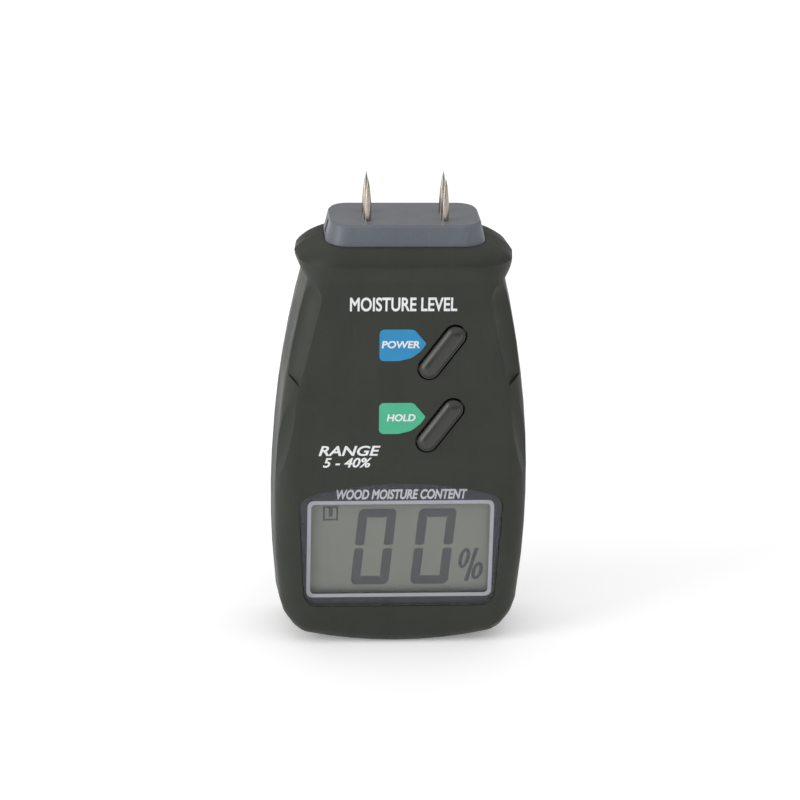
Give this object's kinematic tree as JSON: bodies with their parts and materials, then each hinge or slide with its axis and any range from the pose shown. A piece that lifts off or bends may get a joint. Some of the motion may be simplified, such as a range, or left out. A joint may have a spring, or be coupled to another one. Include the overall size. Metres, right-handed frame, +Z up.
{
  "type": "moisture meter",
  "caption": "Handheld pin moisture meter with a waisted dark case, a liquid crystal display, slanted keys, a pin head on a rounded collar and a hinged battery door.",
  "frame": {"origin": "middle of the footprint, on the flat foot of the case", "axes": "+Z up along the meter towards the pin tips, the display faces -Y, +Y towards the battery door"},
  "size_m": [0.0644, 0.0292, 0.1208],
  "materials": {
    "case_plastic": "fine textured warm charcoal plastic",
    "door_plastic": "fine textured warm charcoal plastic",
    "head_plastic": "blue-grey satin plastic",
    "pin_steel": "ground steel",
    "socket_brass": "plain",
    "wire_cover": "vinyl",
    "lens_clear": "clear acrylic with a printed dark border",
    "tape_black": "foam",
    "lcd_glass": "polished",
    "reflector_film": "satin grey-green film",
    "frame_plastic": "moulded",
    "zebra_rubber": "striped",
    "board_laminate": "solder mask",
    "chip_plastic": "moulded",
    "capacitor_ceramic": "fired",
    "switch_plastic": "moulded",
    "plunger_plastic": "moulded",
    "key_plastic": "satin grey",
    "cell_jacket": "printed jacket",
    "contact_steel": "nickel plated",
    "screw_steel": "zinc plated"
  },
  "bodies": {
    "case": {"front_cover": "case_plastic", "back_cover": "case_plastic", "head_block": "head_plastic", "pin_front_left": "pin_steel", "pin_front_right": "pin_steel", "pin_rear_left": "pin_steel", "pin_rear_right": "pin_steel", "pin_sockets": "socket_brass", "left_pin_strap": "socket_brass", "right_pin_strap": "socket_brass", "left_lead": "wire_cover", "right_lead": "wire_cover", "display_lens": "lens_clear", "lens_tape": "tape_black", "lcd_front_glass": "lcd_glass", "lcd_rear_glass": "lcd_glass", "lcd_reflector": "reflector_film", "lcd_frame": "frame_plastic", "zebra_strip": "zebra_rubber", "circuit_board": "board_laminate", "controller_chip": "chip_plastic", "board_capacitors": "capacitor_ceramic", "power_switch": "switch_plastic", "hold_switch": "switch_plastic", "cell_1": "cell_jacket", "cell_2": "cell_jacket", "cell_3": "cell_jacket", "cell_4": "cell_jacket", "plus_contact": "contact_steel", "minus_contact": "contact_steel", "top_bridge": "contact_steel", "lower_left_bridge": "contact_steel", "lower_right_bridge": "contact_steel", "housing_screws": "screw_steel", "board_screws": "screw_steel"},
    "power_key": {"power_key": "key_plastic"},
    "hold_key": {"hold_key": "key_plastic"},
    "power_plunger": {"power_plunger": "plunger_plastic"},
    "hold_plunger": {"hold_plunger": "plunger_plastic"},
    "battery_door": {"battery_door": "door_plastic"}
  },
  "joints": [
    {"name": "power_key_press", "type": "slide", "parent": "case", "child": "power_key", "axis": [0, 1, 0], "range_m": [0, 0.0005], "stiffness_N_per_m": 600, "springref_m": -0.0012},
    {"name": "power_plunger_press", "type": "slide", "parent": "case", "child": "power_plunger", "axis": [0, 1, 0], "range_m": [0, 0.0005]},
    {"name": "hold_key_press", "type": "slide", "parent": "case", "child": "hold_key", "axis": [0, 1, 0], "range_m": [0, 0.0005], "stiffness_N_per_m": 600, "springref_m": -0.0012},
    {"name": "hold_plunger_press", "type": "slide", "parent": "case", "child": "hold_plunger", "axis": [0, 1, 0], "range_m": [0, 0.0005]},
    {"name": "battery_door_hinge", "type": "hinge", "parent": "case", "child": "battery_door", "pos_m": [0, 0.0116, 0.0086], "axis": [-1, 0, 0], "range_deg": [0, 90]}
  ],
  "couplings": [
    {"joint": "power_plunger_press", "follows": "power_key_press", "ratio": 1},
    {"joint": "hold_plunger_press", "follows": "hold_key_press", "ratio": 1}
  ]
}
